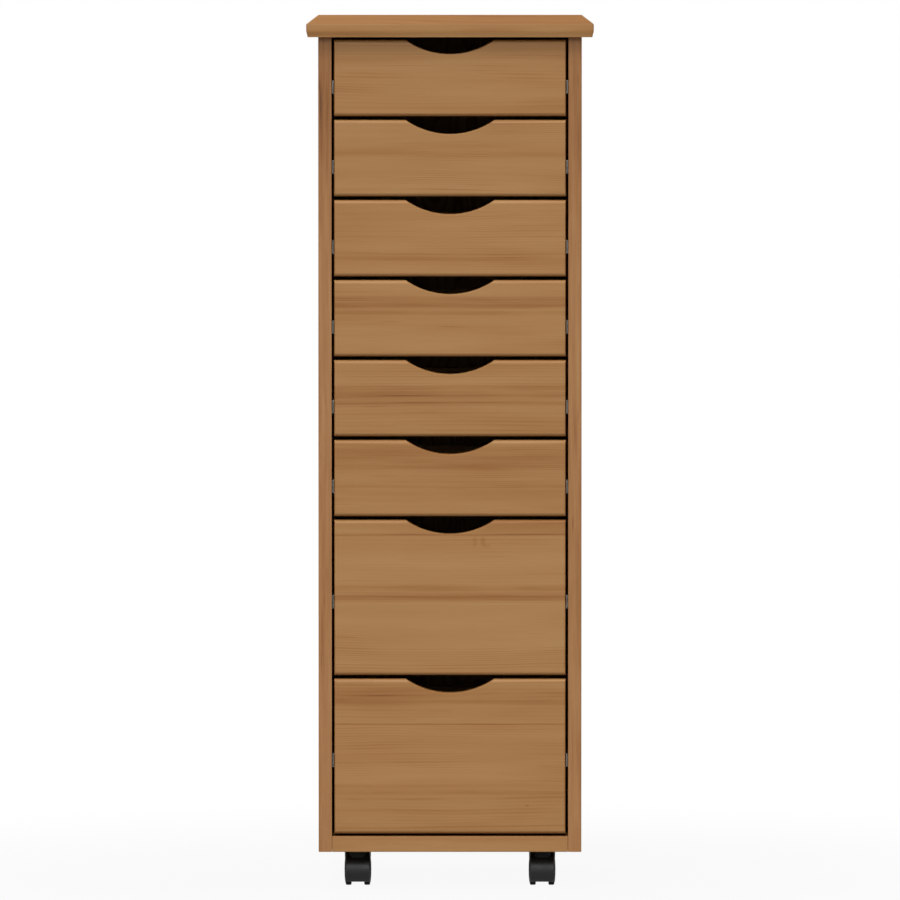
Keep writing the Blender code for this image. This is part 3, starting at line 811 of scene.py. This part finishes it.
def side_caps():
    """Flush caps over the screws that hold the bottom board between the side boards."""
    low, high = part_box("bottom_panel")
    level = (low.z + high.z) / 2
    profile = ((0, 0.0005), (0.0028, 0.00048), (0.0048, 0.00036), (0.0055, 0.00008), (0.0056, -0.0008))
    for side, sign in (("left", -1), ("right", 1)):
        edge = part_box(f"side_panel_{side}")
        face = edge[1].x if sign > 0 else edge[0].x
        shape = bmesh.new()
        facing = Vector((sign, 0, 0)).to_track_quat("Z", "Y").to_matrix().to_4x4()
        for depth in (-0.125, 0.008, 0.140):
            matrix = Matrix.Translation((face, depth, level)) @ facing
            turned(shape, profile, 28, matrix)
        dress(add_mesh(f"side_caps_{side}", shape), cap_plastic, "cabinet", "pine")


# Runners


def lengthwise(edge):
    """Whether an edge runs along a channel."""
    return abs(edge.verts[0].co.y - edge.verts[1].co.y) > 0.1


def runners():
    """Folded steel channels with their end tabs and screws."""
    sheet = 0.0012
    lip = 0.0018
    tab_reach = 0.0024
    for side, sign in (("left", -1), ("right", 1)):
        for number in DRAWERS:
            name = f"runner_{side}_{number}"
            low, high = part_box(name)
            outer = high.x if sign > 0 else low.x
            inner = low.x if sign > 0 else high.x
            into = -sign
            floor, ceiling = low.z, high.z
            upper = [
                (outer, ceiling),
                (inner, ceiling),
                (inner, ceiling - sheet - lip),
                (inner - into * sheet, ceiling - sheet - lip),
                (inner - into * sheet, ceiling - sheet),
                (outer + into * sheet, ceiling - sheet),
            ]
            lower = [(across, floor + ceiling - level) for across, level in reversed(upper)]
            channel = prism(upper + lower, low.y + 0.0002, high.y, "Y")
            round_edges(channel, 0.0007, 3, chosen=lengthwise)
            dress(add_mesh(f"channel_{side}_{number}", channel), zinc, "cabinet", "zinc", name)
            tab_end = outer + into * tab_reach
            tab_low = (min(outer, tab_end), low.y, floor)
            tab_high = (max(outer, tab_end), low.y + 0.0015, ceiling)
            tab = round_edges(block(tab_low, tab_high), 0.0004, 2)
            # The tab's zinc carries painted shade and a painted reflection of the wood in its colour.
            dress(add_mesh(f"channel_tab_{side}_{number}", tab), painted_shade_zinc, "cabinet", "zinc")
            middle = (floor + ceiling) / 2
            heads = [(outer + into * sheet, along, middle) for along in (-0.128, -0.02, 0.118)]
            piece = screws(f"channel_screws_{side}_{number}", heads, (into, 0, 0), 0.0032)
            dress(piece, screw_steel, "cabinet", "zinc")


# Drawers


def drawer_face(number):
    """A front board with the arc-shaped finger cut-out and rounded edges, the upper ones widest."""
    name = f"drawer_{number}_front"
    low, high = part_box(name)
    chord = 0.1127
    notch = 0.0179
    radius = (chord ** 2 / 4 + notch ** 2) / (2 * notch)
    centre = high.z - notch + radius
    down = -math.pi / 2
    top_round, side_round, foot_round, arc_round = 0.0047, 0.0019, 0.0046, 0.0012
    round_depth = 0.0052

    def ring(level, share):
        """The outline at a depth, drawn in by a share of each edge's rounding."""
        top, side, foot = high.z - top_round * share, side_round * share, low.z + foot_round * share
        reach = radius + arc_round * share
        sweep = math.acos((centre - top) / reach)
        points = [(low.x + side, foot), (high.x - side, foot), (high.x - side, top)]
        points += arc((0, centre), reach, down + sweep, down - sweep, 56)
        points.append((low.x + side, top))
        return [(x, level, z) for x, z in points]

    rings = []
    for step in range(8):
        angle = math.pi / 2 * step / 7
        rings.append(ring(low.y + round_depth * (1 - math.cos(angle)), 1 - math.sin(angle)))
    for behind, share in ((0.0012, 0.0), (0.0004, 0.07), (0.0, 0.25)):
        rings.append(ring(high.y - behind, share))
    piece = add_mesh(f"drawer_{number}_face", bridged(rings))
    dress(piece, pine_front, f"drawer_{number}", "pine_front", name)


def drawer_box(number):
    """Grooved side boards, a back board, steel rails in the grooves and their screws."""
    body = f"drawer_{number}"
    low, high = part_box(f"{body}_box")
    runner_low, runner_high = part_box(f"runner_left_{number}")
    middle = (runner_low.z + runner_high.z) / 2
    board = 0.014
    base_low, base_high, base_depth = low.z + 0.0077, low.z + 0.0123, 0.009
    groove, groove_depth = 0.009, 0.008
    stem, face, head, half_stem, half_head = 0.0081, 0.0054, 0.0036, 0.0025, 0.007
    for side, outer, into in (("left", low.x, 1), ("right", high.x, -1)):
        outline = [
            (0, low.z),
            (board, low.z),
            (board, base_low),
            (base_depth, base_low),
            (base_depth, base_high),
            (board, base_high),
            (board, high.z),
            (0, high.z),
            (0, middle + groove),
            (groove_depth, middle + groove),
            (groove_depth, middle - groove),
            (0, middle - groove),
        ]
        points = [(outer + into * across, level) for across, level in outline]
        shape = round_edges(prism(points, low.y, high.y, "Y"), 0.0008, 2)
        piece = add_mesh(f"{body}_side_{side}", shape)
        if side == "left":
            dress(piece, pine_box_side, body, "pine_pale", f"{body}_box")
        else:
            dress(piece, pine_box_side, body, "pine_pale")

        rail = [
            (stem, middle + half_stem),
            (face, middle + half_stem),
            (face, middle + half_head),
            (head, middle + half_head),
            (head, middle - half_head),
            (face, middle - half_head),
            (face, middle - half_stem),
            (stem, middle - half_stem),
        ]
        points = [(outer + into * across, level) for across, level in rail]
        shape = round_edges(prism(points, low.y + 0.001, high.y - 0.001, "Y"), 0.0004, 2)
        dress(add_mesh(f"{body}_rail_{side}", shape), zinc, body, "zinc")
        heads = [(outer + into * head, along, middle) for along in (-0.135, -0.01, 0.145)]
        piece = screws(f"{body}_rail_screws_{side}", heads, (-into, 0, 0), 0.0028)
        dress(piece, screw_steel, body, "zinc")

    inside = high.x - board
    back = block((-inside, high.y - 0.012, base_high), (inside, high.y, high.z))
    shape = round_edges(back, 0.0008, 2)
    dress(add_mesh(f"{body}_back", shape), pine_box_back, body, "pine_pale")


# Casters


def caster(name, hood_mesh, neck_mesh, wheel_meshes):
    """A hood over two wheels that trail behind the stem."""
    low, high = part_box(f"{name}_wheel_right")
    hood_low, hood_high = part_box(f"{name}_hood")
    axle = Vector(((hood_low.x + hood_high.x) / 2, (low.y + high.y) / 2, (low.z + high.z) / 2))

    def copy(label, mesh, material, body, slot, matrix, *nodes):
        own = mesh.copy()
        own.transform(matrix)
        piece = bpy.data.objects.new(label, own)
        SCENE.collection.objects.link(piece)
        weighted = piece.modifiers.new("even_faces", "WEIGHTED_NORMAL")
        weighted.keep_sharp = True
        return dress(piece, material, body, slot, *nodes)

    place = Matrix.Translation(axle)
    copy(f"{name}_shell", hood_mesh, hood_plastic, name, "black_plastic", place, f"{name}_hood")
    copy(f"{name}_neck", neck_mesh, neck_plastic, name, "black_plastic", place)
    collar = bmesh.new()
    stem = Matrix.Translation(axle + Vector((0, -CASTER_TRAIL, 0)))
    profile = ((0.0048, 0.0262), (0.0058, 0.0262), (0.0058, 0.0274), (0.0048, 0.0275), (0.0048, 0.0262))
    turned(collar, profile, 32, stem)
    dress(add_mesh(f"{name}_collar", collar), zinc, name, "zinc")
    for side, turn in (("right", 0.0), ("left", math.pi)):
        matrix = place @ Matrix.Rotation(turn, 4, "Z")
        body = f"{name}_wheel_{side}"
        copy(f"{body}_tyre", wheel_meshes["tyre"], tyre_plastic, body, "tread_plastic", matrix, body)
        copy(f"{body}_disc", wheel_meshes["disc"], disc_plastic, body, "black_plastic", matrix)


def hood_outline():
    """The hood from the side, measured from the axle: a round dome that slopes down to the rear."""
    radius = 0.023
    dome = 0.0261
    crown = 0.011
    lip = math.asin(0.015 / radius)
    rear = math.radians(40)
    quarter = math.pi / 2
    points = arc((0, 0), radius, math.pi + lip, math.pi, 14)
    points += arc((dome - radius, 0), dome, math.pi, quarter, 28)[1:]
    points += arc((dome - radius, dome - crown), crown, quarter, rear, 8)[1:]
    points.append((radius * math.cos(rear), radius * math.sin(rear)))
    points += arc((0, 0), 0.006, 0, -quarter, 8)
    return points


def hood():
    """The moulded shell: rounded outside, narrower at its crown, hollowed over each wheel, with a web."""
    half_width, half_web, well_radius = 0.0155, 0.0077, 0.0212
    boss_radius, half_boss = 0.0046, 0.0079
    crown_start, crown_rise, crown_narrowing = 0.018, 0.0093, 0.18
    shell = round_edges(prism(hood_outline(), -half_width, half_width, "X"), 0.0016, 4, 60.0)
    for vertex in shell.verts:
        rise = max(vertex.co.z - crown_start, 0.0) / crown_rise
        vertex.co.x *= 1 - crown_narrowing * rise ** 3
    across = Matrix.Rotation(math.pi / 2, 4, "Y")
    for start, end in ((-0.02, -half_web), (half_web, 0.02)):
        well = bmesh.new()
        turned(well, ((0, start), (well_radius, start), (well_radius, end), (0, end)), 96, across)
        bmesh.ops.recalc_face_normals(well, faces=well.faces)
        shell = boolean(shell, "DIFFERENCE", well)
    boss = ((0, -half_boss), (boss_radius, -half_boss), (boss_radius, half_boss), (0, half_boss))
    turned(shell, boss, 32, across)
    return as_mesh(shell)


def neck():
    """The oval boss on the hood that holds the stem."""
    circle = arc((0, 0), 1.0, 0.0, 2 * math.pi, 48)[:-1]
    rings = []
    for level, wide, deep in (
        (0.0165, 0.0122, 0.0068),
        (0.0215, 0.0112, 0.0067),
        (0.0259, 0.0099, 0.0065),
        (0.0265, 0.0093, 0.006),
    ):
        rings.append([(wide * x, deep * y - CASTER_TRAIL, level) for x, y in circle])
    return as_mesh(bridged(rings))


def as_mesh(shape):
    """A smooth-shaded mesh that several pieces copy."""
    bmesh.ops.recalc_face_normals(shape, faces=shape.faces)
    mesh = bpy.data.meshes.new("shared")
    shape.to_mesh(mesh)
    shape.free()
    mesh.shade_smooth()
    mesh.set_sharp_from_angle(angle=math.radians(32))
    return mesh


def wheels():
    """The right wheel's tyre and disc, measured from the axle's middle."""
    start = 0.00815
    radius, rim, tread, bevel = 0.02, 0.0168, 0.0074, 0.0014
    across = Matrix.Rotation(math.pi / 2, 4, "Y")
    tyre = bmesh.new()
    profile = [(rim, start + 0.0002), (0.0185, start)]
    for angle in (0.5, 1.0, 1.5708):
        inset = radius - bevel * (1 - math.sin(angle))
        profile.append((inset, start + bevel * (1 - math.cos(angle))))
    profile.append((radius, start + tread / 2))
    for angle in (0, 0.5, 1.0, 1.5):
        inset = radius - bevel * (1 - math.cos(angle))
        profile.append((inset, start + tread - bevel * (1 - math.sin(angle))))
    profile += [(0.0182, start + 0.00745), (0.0176, start + 0.0072), (rim, start + 0.0068)]
    profile.append((rim, start + 0.0002))
    turned(tyre, profile, 72, across)

    full = start + 0.0091
    doming = 0.0013
    dents = (
        (0.0172, 0.0006),
        (0.0169, 0.0001),
        (0.0140, 0.0),
        (0.0136, 0.0003),
        (0.0130, 0.0003),
        (0.0126, 0.0),
        (0.0100, 0.0),
        (0.0070, 0.0),
        (0.0050, 0.0001),
        (0.0047, 0.0005),
        (0.0042, 0.0005),
        (0.0039, 0.0001),
    )
    profile = [(0.0029, start), (0.0172, start)]
    profile += [(place, full - doming * (place / 0.0188) ** 2 - dent) for place, dent in dents]
    profile.append((0, full))
    disc = bmesh.new()
    turned(disc, profile, 72, across)
    return {"tyre": as_mesh(tyre), "disc": as_mesh(disc)}


# Camera, light and floor


def camera():
    """A long lens straight in front, a little above the middle."""
    data = bpy.data.cameras.new("camera")
    data.lens = 372.1
    data.sensor_width = 36
    data.clip_end = 100
    view = bpy.data.objects.new("camera", data)
    SCENE.collection.objects.link(view)
    view.location = (0, -12.0, 1.09)
    aim = Vector((0, -0.175, 0.5606)) - view.location
    view.rotation_euler = aim.to_track_quat("-Z", "Y").to_euler()
    SCENE.camera = view


def soft_light(name, direction, strength, spread):
    """A broad, distant light that shines along a direction."""
    data = bpy.data.lights.new(name, "SUN")
    data.energy = strength
    data.angle = math.radians(spread)
    lamp = bpy.data.objects.new(name, data)
    SCENE.collection.objects.link(lamp)
    lamp.location = -3 * Vector(direction).normalized()
    lamp.rotation_euler = Vector(direction).to_track_quat("-Z", "Y").to_euler()


def seen_directly(nodes, links):
    """1 for camera, glossy and transmission rays, 0 for the rays that light the object."""
    path = nodes.new("ShaderNodeLightPath")
    seen = path.outputs["Is Camera Ray"]
    for name in ("Is Glossy Ray", "Is Transmission Ray"):
        either = nodes.new("ShaderNodeMath")
        either.operation = "MAXIMUM"
        links.new(seen, either.inputs[0])
        links.new(path.outputs[name], either.inputs[1])
        seen = either.outputs[0]
    return seen


def studio():
    """Soft, even light from the front, and enough behind and beside for the other views."""
    world = bpy.data.worlds.new("studio")
    SCENE.world = world
    world.use_nodes = True
    nodes, links = world.node_tree.nodes, world.node_tree.links
    background = nodes["Background"]
    background.inputs["Color"].default_value = (1, 1, 1, 1)
    level = nodes.new("ShaderNodeMapRange")
    level.inputs["To Min"].default_value = 0.26  # what lights the object
    level.inputs["To Max"].default_value = 1.0  # what the camera and reflections see
    links.new(seen_directly(nodes, links), level.inputs["Value"])
    links.new(level.outputs[0], background.inputs["Strength"])
    soft_light("key", (0.2, 0.48, -0.857), 2.08, 28)
    soft_light("front", (0.48, 0.77, -0.42), 0.42, 24)
    soft_light("low", (0.098, 0.936, -0.338), 0.8, 24)
    soft_light("rear", (0.55, -0.8, -0.75), 1.1, 50)
    soft_light("side", (-0.85, -0.1, -0.52), 1.3, 60)


def floor():
    """A pale floor that shows the soft shadow and runs into the white background."""
    shape = bmesh.new()
    corners = [shape.verts.new((x, y, 0)) for x, y in ((-30, -30), (30, -30), (30, 30), (-30, 30))]
    shape.faces.new(corners)
    mesh = bpy.data.meshes.new("floor")
    shape.to_mesh(mesh)
    shape.free()
    piece = bpy.data.objects.new("floor", mesh)
    SCENE.collection.objects.link(piece)
    piece.location.z = -0.0002
    t = Tree("floor_white")
    t.shader.inputs["Base Color"].default_value = (0.2, 0.2, 0.2, 1)
    t.shader.inputs["Roughness"].default_value = 0.9
    t.shader.inputs["Specular IOR Level"].default_value = 0.1
    glow = t.nodes.new("ShaderNodeEmission")
    glow.inputs["Strength"].default_value = 1.0
    (x, y, _), _ = t.places()
    far = t.math("SQRT", t.add(t.mul(x, x), t.mul(y, y)))
    share = t.smooth(far, 0.3, 1.3, 0.93, 1.0)
    blend = t.nodes.new("ShaderNodeMixShader")
    t.put(blend.inputs[0], t.mul(seen_directly(t.nodes, t.links), share))
    t.links.new(t.shader.outputs[0], blend.inputs[1])
    t.links.new(glow.outputs[0], blend.inputs[2])
    t.links.new(blend.outputs[0], t.nodes["Material Output"].inputs["Surface"])
    mesh.materials.append(t.material)


camera()
studio()
floor()
top_board()
side_board("left", pine_left)
side_board("right", pine_right)
bottom_board()
back_board()
side_caps()
runners()
for drawer in DRAWERS:
    drawer_face(drawer)
    drawer_box(drawer)
    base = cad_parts[f"drawer_{drawer}_base"]
    base.data.materials.clear()
    base.data.materials.append(ply_floor)
shared_hood = hood()
shared_neck = neck()
shared_wheels = wheels()
for caster_name in CASTERS:
    caster(caster_name, shared_hood, shared_neck, shared_wheels)

SCENE.view_settings.view_transform = "Standard"
